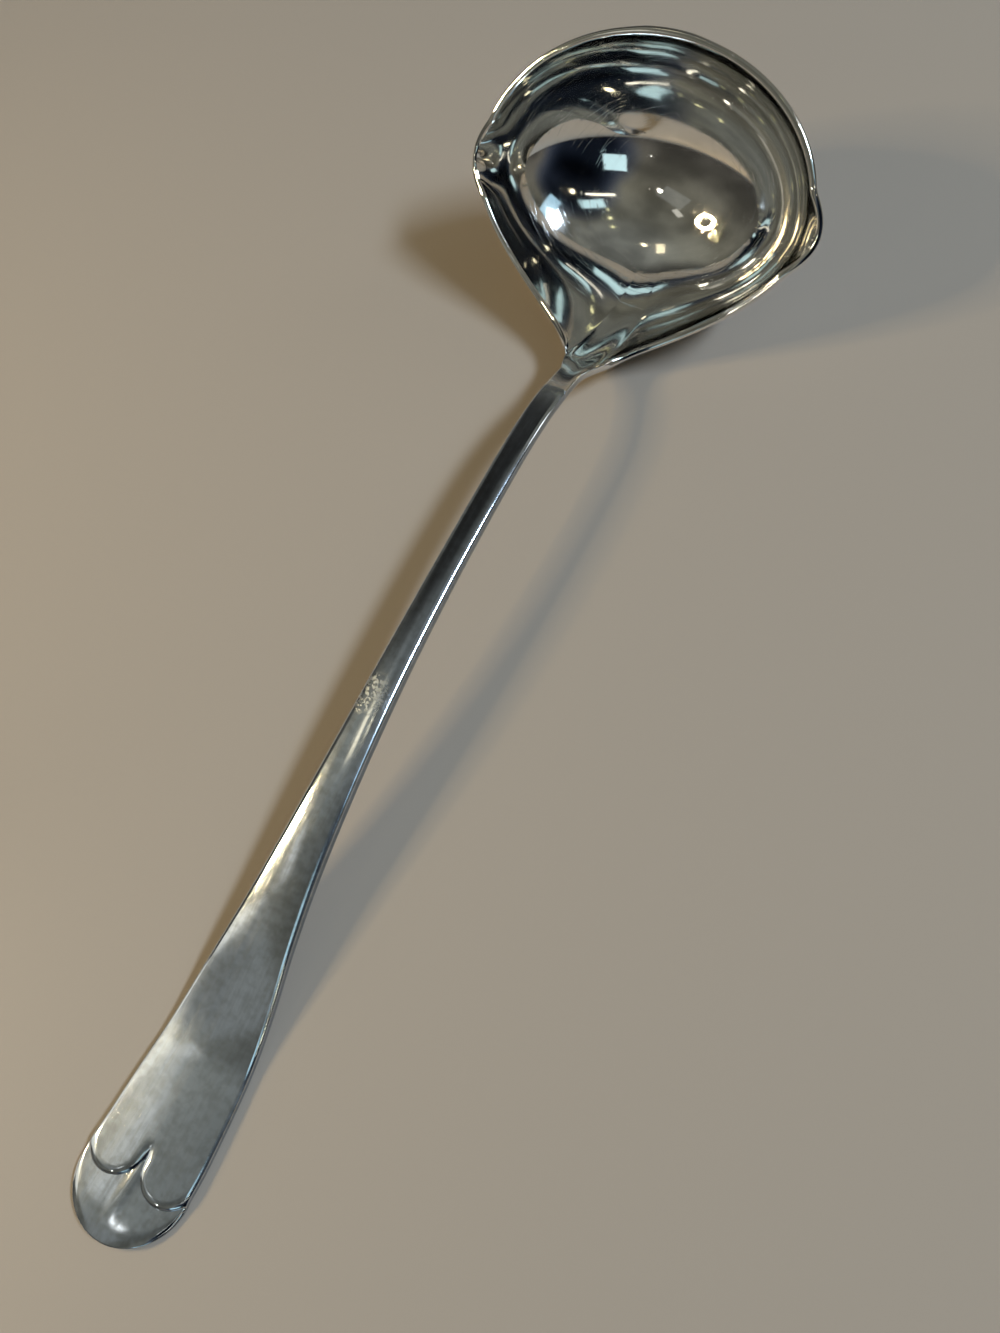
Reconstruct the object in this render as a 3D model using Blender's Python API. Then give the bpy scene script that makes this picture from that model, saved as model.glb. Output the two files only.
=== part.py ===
"""Silver-plated serving ladle with two pouring lips, lying on its bowl and on the end of its handle."""

import math

import bmesh
import bpy
from mathutils import Matrix, Vector

# Bowl, described level: rim in the plane z = 0, lips on the line y = 0, handle side towards -y
BOWL_WIDTH = 0.1010
BOWL_FAR_REACH = 0.0395
BOWL_DEPTH = 0.03555
WALL_FULLNESS = 0.55
FLOOR_FULLNESS = 0.55
BOWL_TILT = math.radians(49.8)
WALL = 0.0015
RIM_THICKNESS = 0.0020
RIM_FADE = 0.006
FLOOR_SETBACK = 0.0010
SHOULDER_RUN = 0.056
WAIST_NEAR_REACH = 0.0390

# Free edges: size of the bevel as a share of the metal thickness, and its slope on leaving either face
EDGE_SHARE = 0.36
BEVEL_RUN = 0.6
BEVEL_FALL = 0.25
BEVEL_TURN = 0.45

# Pouring lips
LIP_REACH = 0.0028
LIP_LENGTH = 0.0200
LIP_DROP = 0.0008
LIP_FADE = 0.18
LIP_ROUNDNESS = 1.3

# Neck, from the near rim up to the scarf joint
NECK_ROOT_HEIGHT = 0.0120
NECK_ROOT_REACH = 0.0436
NECK_ROOT_WIDTH = 0.0100
NECK_ROOT_RISE = 0.045
NECK_ROOT_TAPER = 0.24
NECK_ROOT_LEAN = math.radians(8.3)
NECK_HOLLOW = 0.0006
NECK_WEB = 0.0014
NECK_WEB_RUN = 0.0095
NECK_SKIRT = 0.036
JOINT_HEIGHT = 0.0295
JOINT_REACH = 0.0490
JOINT_LEAN = math.radians(24)
HEEL_DROP = 0.0130
HEEL_SPREAD = 0.0080

# Scarf joint between neck and stem
JOINT_FRONT = Vector((0, -JOINT_REACH, JOINT_HEIGHT))
SCARF_ANGLE = math.radians(32)
SOLDER_FILM = 0.00025

# Handle, measured along the table from its end
HANDLE_REACH = 0.2406
STEM_WIDTH = 0.0074
STEM_THICKNESS = 0.0031
SPINE_AT = 0.1350
SPINE_THICKNESS = 0.0045
ARCH_AT = 0.2050
ARCH_HEIGHT = 0.0223
RISE_AT = 0.0750
RISE_HEIGHT = 0.0075
RISE_SLOPE = 0.22
WAIST_AT = 0.1000
WAIST_WIDTH = 0.0134
WAIST_SLOPE = -0.07
FLARE_AT = 0.0700
FLARE_WIDTH = 0.0199
FLARE_SLOPE = -0.15
REST_START = 0.0260
REST_END = 0.0420
END_AT = 0.0165
END_WIDTH = 0.0297
END_SLOPE = -0.03
END_THICKNESS = 0.0027
END_DRIFT = 0.0013
STEM_CROWN = 0.0003

# Struck end: two lobes above a lower tongue
TONGUE_WIDTH = 0.0301
TONGUE_SHARE = 0.93
TONGUE_LIFT = 0.0009
TONGUE_RIDGE = 0.0003
TONGUE_FALL = 0.0005
TONGUE_FALL_POWER = 6
RIDGE_SHARE = 0.12
LOBE_CENTRE = 0.0205
LOBE_REACH = 0.0083
LOBE_SHARE = 0.2575
LOBE_OVERLAP = 0.0001
VALLEY_RUN = 0.0035
STEP_HEIGHT = 0.0011
STEP_RUN = 0.0018

# Facets
QUARTER_COLUMNS = 20
SHOULDER_COLUMNS = 20
NECK_COLUMNS = 4
WALL_ROWS = 12
NECK_ROWS = 5
HANDLE_COLUMNS = 18
STATION_ROWS = 6
LOBE_ROWS = 6
TONGUE_ROWS = 4
EDGE_STEPS = 2
SLOPE_STEP = 0.0001
CUT_STEPS = 30

SILVER = (0.80, 0.80, 0.78, 1.0)
SOLDER = (0.72, 0.72, 0.70, 1.0)


def smooth(x):
    """Ease from 0 to 1 as x goes from 0 to 1."""
    x = min(max(x, 0.0), 1.0)
    return x * x * (3 - 2 * x)


def hermite(start, end, start_tangent, end_tangent, u):
    """Cubic between two values or vectors with given tangents."""
    a = 2 * u**3 - 3 * u**2 + 1
    b = u**3 - 2 * u**2 + u
    c = -2 * u**3 + 3 * u**2
    d = u**3 - u**2
    return start * a + start_tangent * b + end * c + end_tangent * d


def through(stations, x):
    """Value at x of the smooth curve through (place, value, slope) stations."""
    for (x0, v0, s0), (x1, v1, s1) in zip(stations, stations[1:]):
        if x <= x1:
            span = x1 - x0
            return hermite(v0, v1, s0 * span, s1 * span, (x - x0) / span)
    return stations[-1][1]


def bezier(p0, p1, p2, p3, t):
    """Point of a cubic Bezier curve."""
    s = 1 - t
    return p0 * s**3 + p1 * (3 * s * s * t) + p2 * (3 * s * t * t) + p3 * t**3


def lean_up(angle):
    """Direction up the neck when it leans back from the bowl by the angle."""
    return Vector((0, -math.sin(angle), math.cos(angle)))


def lean_back(angle):
    """Direction square to the neck, away from the bowl."""
    return Vector((0, -math.cos(angle), -math.sin(angle)))


def lip_bulge(y):
    """Share of the lip's reach at distance y from the middle of the lip."""
    along = 2 * y / LIP_LENGTH
    return max(0.0, 1 - along * along) ** LIP_ROUNDNESS


def neck_web(height):
    """Extra half width at a height, where rounded webs fill the corners between rim and neck."""
    away = (height - NECK_ROOT_HEIGHT) / NECK_WEB_RUN
    return NECK_WEB * max(0.0, 1 - away * away) ** 2


def inner_rim():
    """Inner edge of the rim on the +x side, from the far point to the root of the neck."""
    half = BOWL_WIDTH / 2 - RIM_THICKNESS
    far = BOWL_FAR_REACH - RIM_THICKNESS
    below_top = -EDGE_SHARE * RIM_THICKNESS
    points = []
    for i in range(QUARTER_COLUMNS):
        angle = math.pi / 2 * i / QUARTER_COLUMNS
        points.append(Vector((half * math.sin(angle), far * math.cos(angle), below_top)))
    root = neck_point(1, 0) - Vector((NECK_WEB, 0, 0))
    leaving = Vector((0, -SHOULDER_RUN, 0))
    up = lean_up(NECK_ROOT_LEAN)
    rising = (up + Vector((-NECK_ROOT_TAPER, 0, 0))) * NECK_ROOT_RISE
    widest = Vector((half, 0, below_top))
    for i in range(SHOULDER_COLUMNS + 1):
        point = hermite(widest, root, leaving, rising, i / SHOULDER_COLUMNS)
        points.append(point + Vector((neck_web(point.z), 0, 0)))
    return points


def wall_waist(start):
    """Plan of the wall below a rim point: the rim's own at the far side, a half oval at the near side."""
    if start.y >= 0:
        return Vector((start.x, start.y, 0))
    side = start.x / (BOWL_WIDTH / 2 - RIM_THICKNESS)
    return Vector((start.x, -WAIST_NEAR_REACH * math.sqrt(1 - side * side), 0))


def wall_top(start):
    """Height the wall would have above a rim point if the rim did not fall away from the neck."""
    if start.y >= 0:
        return start.z
    low = -EDGE_SHARE * RIM_THICKNESS
    beside = (abs(start.x) - neck_point(1, 0).x) / NECK_SKIRT
    return NECK_ROOT_HEIGHT + (low - NECK_ROOT_HEIGHT) * smooth(beside)


def fall_place(p0, p1, p2, p3, height):
    """Place along a falling Bezier curve, run on before its start if need be, where it reaches a height."""
    above = -1.0
    below = 1.0
    for _ in range(CUT_STEPS):
        place = (above + below) / 2
        if bezier(p0, p1, p2, p3, place).z > height:
            above = place
        else:
            below = place
    return place


def wall_column(start):
    """Points of the inner wall from a rim point down to the last one before the middle of the floor."""
    waist = wall_waist(start)
    floor = Vector((0, -FLOOR_SETBACK, -BOWL_DEPTH))
    knee = waist + Vector((0, 0, -WALL_FULLNESS * BOWL_DEPTH))
    bend = floor + (waist - Vector((0, floor.y, 0))) * FLOOR_FULLNESS
    above = (wall_top(start) - start.z) / (start.z - knee.z)
    top = start + (start - knee) * above
    cut = fall_place(top, knee, bend, floor, start.z)
    shift = start - bezier(top, knee, bend, floor, cut)
    side = math.copysign(1, start.x)
    lip = Vector((side * LIP_REACH, 0, -LIP_DROP)) * lip_bulge(start.y)
    points = []
    for j in range(WALL_ROWS):
        down = j / WALL_ROWS
        point = bezier(top, knee, bend, floor, down + cut * (1 - down) ** 2)
        fade = max(0.0, 1 - down / LIP_FADE) ** 2
        points.append(point + shift * (1 - down) ** 3 + lip * fade)
    return points


def neck_point(across, q):
    """Point of the neck's front face, q = 0 at its root and q = 1 at the scarf joint."""
    root = Vector((0, -NECK_ROOT_REACH, NECK_ROOT_HEIGHT))
    span = (JOINT_FRONT - root).length
    up_root = lean_up(NECK_ROOT_LEAN) * span
    up_joint = lean_up(JOINT_LEAN) * span
    middle = hermite(root, JOINT_FRONT, up_root, up_joint, q)
    narrowing = -NECK_ROOT_TAPER * span
    half = hermite(NECK_ROOT_WIDTH / 2, STEM_WIDTH / 2, narrowing, 0, q)
    half += neck_web(middle.z) - EDGE_SHARE * shell_thickness(middle)
    hollow = NECK_HOLLOW * ((1 - across * across) * (1 - q)) ** 2
    return middle + Vector((half * across, -hollow, 0))


def shell_thickness(point):
    """Metal thickness of the bowl behind a point of its inner face."""
    rim = (RIM_THICKNESS - WALL) * (1 - smooth(-point.z / RIM_FADE))
    rise = smooth((point.z + HEEL_DROP) / (JOINT_HEIGHT + HEEL_DROP))
    beside = 1 - smooth((abs(point.x) - NECK_ROOT_WIDTH / 2) / HEEL_SPREAD)
    heel = (STEM_THICKNESS - RIM_THICKNESS) * rise * beside
    return WALL + rim + heel


def scarf_vector():
    """From the front edge of the scarf joint to its back edge, in the level bowl's frame."""
    along = lean_up(JOINT_LEAN) * math.tan(SCARF_ANGLE)
    return (lean_back(JOINT_LEAN) + along) * STEM_THICKNESS


def silver_material(name, colour, roughness):
    """Metal surface of one sub-part."""
    material = bpy.data.materials.new(name)
    material.use_nodes = True
    shader = material.node_tree.nodes["Principled BSDF"]
    shader.inputs["Base Color"].default_value = colour
    shader.inputs["Metallic"].default_value = 1.0
    shader.inputs["Roughness"].default_value = roughness
    return material


def add_object(name, bm, material, parent):
    """Closed body as a named object under its parent."""
    bmesh.ops.recalc_face_normals(bm, faces=bm.faces)
    mesh = bpy.data.meshes.new(name)
    bm.to_mesh(mesh)
    bm.free()
    mesh.shade_smooth()
    mesh.set_sharp_from_angle(angle=math.radians(40))
    mesh.materials.append(material)
    obj = bpy.data.objects.new(name, mesh)
    bpy.context.scene.collection.objects.link(obj)
    obj.parent = parent
    return obj


def edge_directions(front, back, faces, edge, seam):
    """Direction out of the sheet for each edge vertex: square to the edge, or along the seam at its ends."""
    inside = {index: Vector() for index in edge}
    for face in faces:
        middle = sum((front[i] for i in face), Vector()) / len(face)
        for index in set(face) & inside.keys():
            inside[index] += middle - front[index]
    outward = {}
    for k, index in enumerate(edge):
        before = front[edge[max(k - 1, 0)]]
        after = front[edge[min(k + 1, len(edge) - 1)]]
        square = (after - before).cross(back[index] - front[index]).normalized()
        outward[index] = square if square.dot(inside[index]) < 0 else -square
    for end, beside in ((seam[0], seam[1]), (seam[-1], seam[-2])):
        outward[end] = (front[end] - front[beside]).normalized()
    return outward


def rounded_edge(front, back, outward, size):
    """Section of a free edge, from the front sheet round two corners to the back sheet."""
    deep = (back - front).normalized() * size
    out = outward * size
    near = []
    far = []
    for i in range(EDGE_STEPS + 1):
        u = i / EDGE_STEPS
        beside = out * bezier(0, BEVEL_RUN, 1, 1, u)
        below = deep * bezier(0, BEVEL_FALL, BEVEL_TURN, 1, u)
        near.append(front + beside + below)
        far.append(back + beside - below)
    return near + far[::-1]


def rounded_solid(front, back, faces, edge, seam, thicknesses):
    """Closed body between two sheets, with a rounded free edge and a flat cut face at the seam.

    The free edge runs along the vertices of edge, and the seam goes from its first to its last.
    Each vertex has the metal's thickness there, which sets the size of the rounding.
    """
    bm = bmesh.new()
    front_verts = [bm.verts.new(point) for point in front]
    back_verts = [bm.verts.new(point) for point in back]
    outward = edge_directions(front, back, faces, edge, seam)
    bands = []
    for index in edge:
        size = EDGE_SHARE * thicknesses[index]
        section = rounded_edge(front[index], back[index], outward[index], size)
        corners = [bm.verts.new(point) for point in section[1:-1]]
        bands.append([front_verts[index]] + corners + [back_verts[index]])
    for face in faces:
        bm.faces.new([front_verts[i] for i in face])
        bm.faces.new([back_verts[i] for i in reversed(face)])
    for here, after in zip(bands, bands[1:]):
        for k in range(len(here) - 1):
            bm.faces.new([here[k], here[k + 1], after[k + 1], after[k]])
    middle = seam[1:-1]
    cut = bands[0] + [back_verts[i] for i in middle]
    cut += bands[-1][::-1] + [front_verts[i] for i in reversed(middle)]
    bm.faces.new(cut)
    return bm


def bowl_sheet():
    """Inner face of the bowl and neck: points, faces, free edge and scarf seam."""
    starts = inner_rim()
    corner = len(starts) - 1
    starts += [neck_point(1 - k / NECK_COLUMNS, 0) for k in range(1, NECK_COLUMNS + 1)]
    flip = Vector((-1, 1, 1))
    starts += [p * flip for p in starts[-2:0:-1]]
    count = len(starts)
    points = []
    for start in starts:
        points += wall_column(start)
    faces = []
    for c in range(count):
        after = (c + 1) % count
        for j in range(WALL_ROWS - 1):
            a = c * WALL_ROWS + j
            b = after * WALL_ROWS + j
            faces.append((a, a + 1, b + 1, b))
    pole = len(points)
    points.append(Vector((0, -FLOOR_SETBACK, -BOWL_DEPTH)))
    for c in range(count):
        last = c * WALL_ROWS + WALL_ROWS - 1
        following = ((c + 1) % count) * WALL_ROWS + WALL_ROWS - 1
        faces.append((last, pole, following))
    below = [(corner + k) * WALL_ROWS for k in range(2 * NECK_COLUMNS + 1)]
    rows = [below]
    for r in range(1, NECK_ROWS + 1):
        row = []
        for k in range(2 * NECK_COLUMNS + 1):
            row.append(len(points))
            points.append(neck_point(1 - k / NECK_COLUMNS, r / NECK_ROWS))
        rows.append(row)
    for lower, upper in zip(rows, rows[1:]):
        for k in range(2 * NECK_COLUMNS):
            faces.append((upper[k], lower[k], lower[k + 1], upper[k + 1]))
    left_rim = [c * WALL_ROWS for c in range(corner + 2 * NECK_COLUMNS + 1, count)]
    right_rim = [c * WALL_ROWS for c in range(corner)]
    edge = [row[-1] for row in reversed(rows)] + left_rim + right_rim + [row[0] for row in rows]
    return points, faces, edge, rows[-1][::-1]


def offset_sheet(points, faces, seam):
    """Back face of the bowl: the inner face set off by the metal's thickness."""
    normals = [Vector() for _ in points]
    for face in faces:
        a, b, c = (points[i] for i in face[:3])
        normal = (b - a).cross(c - a)
        if len(face) == 4:
            normal = (points[face[2]] - a).cross(points[face[3]] - b)
        for index in face:
            normals[index] += normal
    outward = -1 if normals[0].y < 0 else 1
    back = []
    for index, point in enumerate(points):
        away = normals[index].normalized() * outward
        back.append(point + away * shell_thickness(point))
    for index in seam:
        back[index] = points[index] + scarf_vector()
    return back


def bowl_rest_height(back):
    """Height of the lip line above the table when the tilted bowl touches it."""
    low = min(p.y * math.sin(BOWL_TILT) + p.z * math.cos(BOWL_TILT) for p in back)
    return -low


def make_bowl(parent):
    """Raised bowl with rim, lips, heel and neck. Returns its object and where it is placed."""
    front, faces, edge, seam = bowl_sheet()
    back = offset_sheet(front, faces, seam)
    bm = rounded_solid(front, back, faces, edge, seam, [shell_thickness(p) for p in front])
    bowl = add_object("bowl", bm, silver_material("polished_silver", SILVER, 0.06), parent)
    turn = Matrix.Rotation(BOWL_TILT, 4, "X")
    bowl.location = (0, HANDLE_REACH - (turn @ JOINT_FRONT).y, bowl_rest_height(back))
    bowl.rotation_euler.x = BOWL_TILT
    place = Matrix.Translation(bowl.location) @ turn
    return bowl, place, max((place @ p).y for p in back)


def film_vector():
    """Along the stem through the solder film, in the level bowl's frame."""
    return lean_up(JOINT_LEAN) * (SOLDER_FILM / math.cos(SCARF_ANGLE))


def make_solder(parent, bowl):
    """Film of solder that fills the scarf joint."""
    right = Vector((1, 0, 0))
    size = EDGE_SHARE * STEM_THICKNESS
    half = right * (STEM_WIDTH / 2 - size)
    back = JOINT_FRONT + scarf_vector()
    ring = rounded_edge(JOINT_FRONT + half, back + half, right, size)
    ring += rounded_edge(JOINT_FRONT - half, back - half, -right, size)[::-1]
    bm = bmesh.new()
    lower = [bm.verts.new(point) for point in ring]
    upper = [bm.verts.new(point + film_vector()) for point in ring]
    bm.faces.new(lower)
    bm.faces.new(upper)
    for k in range(len(ring)):
        after = (k + 1) % len(ring)
        bm.faces.new([lower[k], lower[after], upper[after], upper[k]])
    solder = add_object("neck_solder", bm, silver_material("solder_silver", SOLDER, 0.2), parent)
    solder.location = bowl.location
    solder.rotation_euler = bowl.rotation_euler


def lobe_across(w):
    """Place across the nearer lobe, at w from the middle line: 0 in its middle and 1 at its side."""
    centre = LOBE_SHARE * END_WIDTH
    return (abs(w) - centre) / (centre + LOBE_OVERLAP)


def lobe_edge(w):
    """Distance from the handle's end to the edge of the raised lobes, at w from the middle line."""
    return LOBE_CENTRE - LOBE_REACH * math.sqrt(1 - lobe_across(w) ** 2)


def lobe_drop(w, y):
    """Drop of the top face where it rounds off towards the edge of the lobes."""
    along = max(0.0, LOBE_CENTRE - y) / LOBE_REACH
    inside = (1 - math.hypot(lobe_across(w), along)) * LOBE_REACH
    turned = min(max(1 - inside / STEP_RUN, 0.0), 1.0)
    fade = 1 - smooth((y - LOBE_CENTRE) / VALLEY_RUN)
    return STEP_HEIGHT * (1 - math.sqrt(1 - turned * turned)) * fade


def handle_lines(joint):
    """Middle height, half width and thickness along the handle, as stations from its end."""
    slope = joint["slope"]
    rest = END_THICKNESS / 2
    heights = [
        (0, rest + TONGUE_LIFT, -2 * TONGUE_LIFT / REST_START),
        (REST_START, rest, 0),
        (REST_END, rest, 0),
        (RISE_AT, RISE_HEIGHT, RISE_SLOPE),
        (ARCH_AT, ARCH_HEIGHT, 0),
        (joint["at"], joint["height"], slope),
    ]
    widths = [
        (0, END_WIDTH / 2, 0),
        (END_AT, END_WIDTH / 2, END_SLOPE),
        (FLARE_AT, FLARE_WIDTH / 2, FLARE_SLOPE),
        (WAIST_AT, WAIST_WIDTH / 2, WAIST_SLOPE),
        (ARCH_AT, STEM_WIDTH / 2, 0),
        (joint["at"], STEM_WIDTH / 2, 0),
    ]
    thicknesses = [
        (0, END_THICKNESS, 0),
        (REST_END, END_THICKNESS, 0),
        (SPINE_AT, SPINE_THICKNESS, 0),
        (joint["at"], STEM_THICKNESS, 0),
    ]
    return heights, widths, thicknesses


def column_share(k, y):
    """Place of column k across the handle, from -1 to 1; columns gather at the sides of the round end."""
    even = 2 * k / HANDLE_COLUMNS - 1
    gathered = math.sin(math.pi / 2 * even)
    return gathered + (even - gathered) * smooth((y - REST_START) / (FLARE_AT - REST_START))


def handle_rows(k, joint):
    """Places along column k of the handle, each with the drop of the top face there."""
    rows = []
    places = [joint["at"], ARCH_AT, WAIST_AT, FLARE_AT, REST_END, REST_START]
    counts = [STATION_ROWS, 2 * STATION_ROWS, STATION_ROWS // 2, STATION_ROWS, STATION_ROWS // 3]
    for start, end, count in zip(places, places[1:], counts):
        rows += [(start + (end - start) * i / count, 0.0) for i in range(count)]
    share = column_share(k, 0)
    half = END_WIDTH / 2 - EDGE_SHARE * END_THICKNESS
    lobe = lobe_edge(share * half)
    for i in range(LOBE_ROWS):
        y = lobe + (REST_START - lobe) * (1 - math.sin(math.pi / 2 * i / LOBE_ROWS))
        rows.append((y, lobe_drop(share * half, y)))
    tip = EDGE_SHARE * (END_THICKNESS - STEP_HEIGHT - TONGUE_FALL)
    rounding = 1 - math.sqrt(1 - min(1.0, share * share))
    outline = tip + (TONGUE_SHARE * lobe_edge(half) - tip) * rounding
    for i in range(TONGUE_ROWS + 1):
        gone = i / TONGUE_ROWS
        ridge = TONGUE_RIDGE * max(0.0, 1 - abs(share) / RIDGE_SHARE) * (1 - gone)
        drop = STEP_HEIGHT - ridge + TONGUE_FALL * gone**TONGUE_FALL_POWER
        rows.append((lobe + (outline - lobe) * gone, drop))
    return rows


def handle_direction(heights, y, joint):
    """Direction along the handle towards its end, at y."""
    near = max(y - SLOPE_STEP, 0)
    far = min(y + SLOPE_STEP, joint["at"])
    slope = (through(heights, far) - through(heights, near)) / (far - near)
    if y == joint["at"]:
        slope = joint["slope"]
    return Vector((0, -1, -slope)).normalized()


def handle_sheets(joint):
    """Top and bottom faces of the handle: points of both, faces, free edge, scarf seam and thickness."""
    heights, widths, stations = handle_lines(joint)
    top = []
    bottom = []
    thicknesses = []
    for k in range(HANDLE_COLUMNS + 1):
        column = handle_rows(k, joint)
        for y, drop in column:
            on_tongue = smooth(drop / (STEP_HEIGHT - TONGUE_RIDGE))
            width = 2 * through(widths, y) * (1 - on_tongue) + TONGUE_WIDTH * on_tongue
            share = column_share(k, y)
            along = handle_direction(heights, y, joint)
            up = Vector((0, along.z, -along.y))
            thickness = through(stations, y)
            thicknesses.append(thickness - drop)
            drift = END_DRIFT * smooth(1 - y / REST_START)
            across = share * (width / 2 - EDGE_SHARE * (thickness - drop)) - drift
            middle = Vector((across, y, through(heights, y)))
            from_joint = smooth((joint["at"] - y) / (joint["at"] - ARCH_AT))
            crown = STEM_CROWN * (1 - share * share) * from_joint
            cut = along * (math.tan(SCARF_ANGLE) * thickness / 2 * (1 - from_joint))
            top.append(middle + up * (thickness / 2 + crown - drop) - cut)
            bottom.append(middle - up * (thickness / 2) + cut)
    rows = len(column)
    faces = []
    for k in range(HANDLE_COLUMNS):
        for i in range(rows - 1):
            a = k * rows + i
            b = a + rows
            faces.append((a, a + 1, b + 1, b))
    first = [k * rows for k in range(HANDLE_COLUMNS, -1, -1)]
    edge = [first[0] + i for i in range(rows)]
    edge += [index + rows - 1 for index in first[1:]]
    edge += list(range(rows - 2, -1, -1))
    return top, bottom, faces, edge, first, thicknesses


def make_handle(parent, place):
    """Forged handle, from the scarf joint to the struck end."""
    middle = place @ (JOINT_FRONT + film_vector() + scarf_vector() / 2)
    direction = place.to_3x3() @ lean_up(JOINT_LEAN)
    joint = {"at": middle.y, "height": middle.z, "slope": direction.z / direction.y}
    bm = rounded_solid(*handle_sheets(joint))
    add_object("handle", bm, silver_material("worn_silver", SILVER, 0.16), parent)


def main():
    for obj in list(bpy.data.objects):
        bpy.data.objects.remove(obj, do_unlink=True)
    ladle = bpy.data.objects.new("ladle", None)
    bpy.context.scene.collection.objects.link(ladle)
    bowl, place, length = make_bowl(ladle)
    make_solder(ladle, bowl)
    make_handle(ladle, place)
    ladle.location.y = -length / 2


main()
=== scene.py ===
"""Looks of the serving ladle: fine surfaces, worn silver plate, soft studio light and the camera."""

import math

import bmesh
import bpy
from mathutils import Matrix, Vector


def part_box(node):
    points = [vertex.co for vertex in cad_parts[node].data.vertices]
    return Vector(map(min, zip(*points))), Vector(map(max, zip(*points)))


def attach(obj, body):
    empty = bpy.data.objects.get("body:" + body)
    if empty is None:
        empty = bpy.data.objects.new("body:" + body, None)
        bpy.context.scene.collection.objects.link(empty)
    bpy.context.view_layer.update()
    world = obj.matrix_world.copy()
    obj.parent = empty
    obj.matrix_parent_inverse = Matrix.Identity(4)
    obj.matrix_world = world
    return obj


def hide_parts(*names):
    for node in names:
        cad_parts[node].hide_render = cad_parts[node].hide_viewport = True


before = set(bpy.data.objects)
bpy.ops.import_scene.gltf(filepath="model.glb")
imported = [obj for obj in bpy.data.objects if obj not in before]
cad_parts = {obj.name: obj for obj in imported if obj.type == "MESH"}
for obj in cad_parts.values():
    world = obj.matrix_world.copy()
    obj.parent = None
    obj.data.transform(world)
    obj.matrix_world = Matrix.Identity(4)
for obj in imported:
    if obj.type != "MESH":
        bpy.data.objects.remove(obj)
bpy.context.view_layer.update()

# Bowl, described level: rim in the plane z = 0, lips on the line y = 0, handle side towards -y
BOWL_WIDTH = 0.1010
BOWL_FAR_REACH = 0.0395
BOWL_DEPTH = 0.03555
WALL_FULLNESS = 0.55
FLOOR_FULLNESS = 0.55
BOWL_TILT = math.radians(49.8)
WALL = 0.0015
RIM_THICKNESS = 0.0020
RIM_FADE = 0.006
FLOOR_SETBACK = 0.0010
SHOULDER_RUN = 0.056
WAIST_NEAR_REACH = 0.0390

# Free edges: size of the bevel as a share of the metal thickness, and its slope on leaving either face
EDGE_SHARE = 0.36
BEVEL_RUN = 0.6
BEVEL_FALL = 0.25
BEVEL_TURN = 0.45

# Pouring lips
LIP_REACH = 0.0028
LIP_LENGTH = 0.0200
LIP_DROP = 0.0008
LIP_FADE = 0.18
LIP_ROUNDNESS = 1.3

# Neck, from the near rim up to the scarf joint
NECK_ROOT_HEIGHT = 0.0120
NECK_ROOT_REACH = 0.0436
NECK_ROOT_WIDTH = 0.0100
NECK_ROOT_RISE = 0.045
NECK_ROOT_TAPER = 0.24
NECK_ROOT_LEAN = math.radians(8.3)
NECK_HOLLOW = 0.0006
NECK_WEB = 0.0014
NECK_WEB_RUN = 0.0095
NECK_SKIRT = 0.036
JOINT_HEIGHT = 0.0295
JOINT_REACH = 0.0490
JOINT_LEAN = math.radians(24)
HEEL_DROP = 0.0130
HEEL_SPREAD = 0.0080

# Scarf joint between neck and stem
JOINT_FRONT = Vector((0, -JOINT_REACH, JOINT_HEIGHT))
SCARF_ANGLE = math.radians(32)
SOLDER_FILM = 0.00025

# Handle, measured along the table from its end
HANDLE_REACH = 0.2406
STEM_WIDTH = 0.0074
STEM_THICKNESS = 0.0031
SPINE_AT = 0.1350
SPINE_THICKNESS = 0.0045
ARCH_AT = 0.2050
ARCH_HEIGHT = 0.0223
RISE_AT = 0.0750
RISE_HEIGHT = 0.0075
RISE_SLOPE = 0.22
WAIST_AT = 0.1000
WAIST_WIDTH = 0.0134
WAIST_SLOPE = -0.07
FLARE_AT = 0.0700
FLARE_WIDTH = 0.0199
FLARE_SLOPE = -0.15
REST_START = 0.0260
REST_END = 0.0420
END_AT = 0.0165
END_WIDTH = 0.0297
END_SLOPE = -0.03
END_THICKNESS = 0.0027
END_DRIFT = 0.0013
STEM_CROWN = 0.0003

# Struck end: two lobes above a lower tongue
TONGUE_WIDTH = 0.0301
TONGUE_SHARE = 0.93
TONGUE_LIFT = 0.0009
TONGUE_RIDGE = 0.0003
TONGUE_FALL = 0.0005
TONGUE_FALL_POWER = 6
RIDGE_SHARE = 0.12
LOBE_CENTRE = 0.0205
LOBE_REACH = 0.0083
LOBE_SHARE = 0.2575
LOBE_OVERLAP = 0.0001
VALLEY_RUN = 0.0035
STEP_HEIGHT = 0.0011
STEP_RUN = 0.0018

# Facets
QUARTER_COLUMNS = 56
SHOULDER_COLUMNS = 56
NECK_COLUMNS = 14
WALL_ROWS = 44
NECK_ROWS = 18
HANDLE_COLUMNS = 44
STATION_ROWS = 18
LOBE_ROWS = 18
TONGUE_ROWS = 14
EDGE_STEPS = 6
SLOPE_STEP = 0.0001
CUT_STEPS = 30
SHARP_ANGLE = math.radians(40)

# Grain: how far polishing marks run along the metal, compared with across it
BOWL_GRAIN_RADIUS = 0.6
BOWL_GRAIN_DEPTH = 12.0
HANDLE_GRAIN_ALONG = 12.0
HANDLE_GRAIN_ACROSS = 900.0
EDGE_GRAIN = 0.25

# Wear: satin on the neck and soil with painted shade on its sides, slanted scratches, and the rubbed spot
# on the handle's waist
NECK_SATIN = 2.5
NECK_SOIL_AND_SHADE = 0.6
SCRATCH_SCALE = (260.0, 6500.0, 260.0)
SCRATCH_TURNS = (0.5, -0.9)
RUB_PLACE = (-0.0025, -0.027, 0.021)
RUB_CORE = 0.0035
RUB_REACH = 0.0075
RUB_SCALE = 700.0

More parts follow.
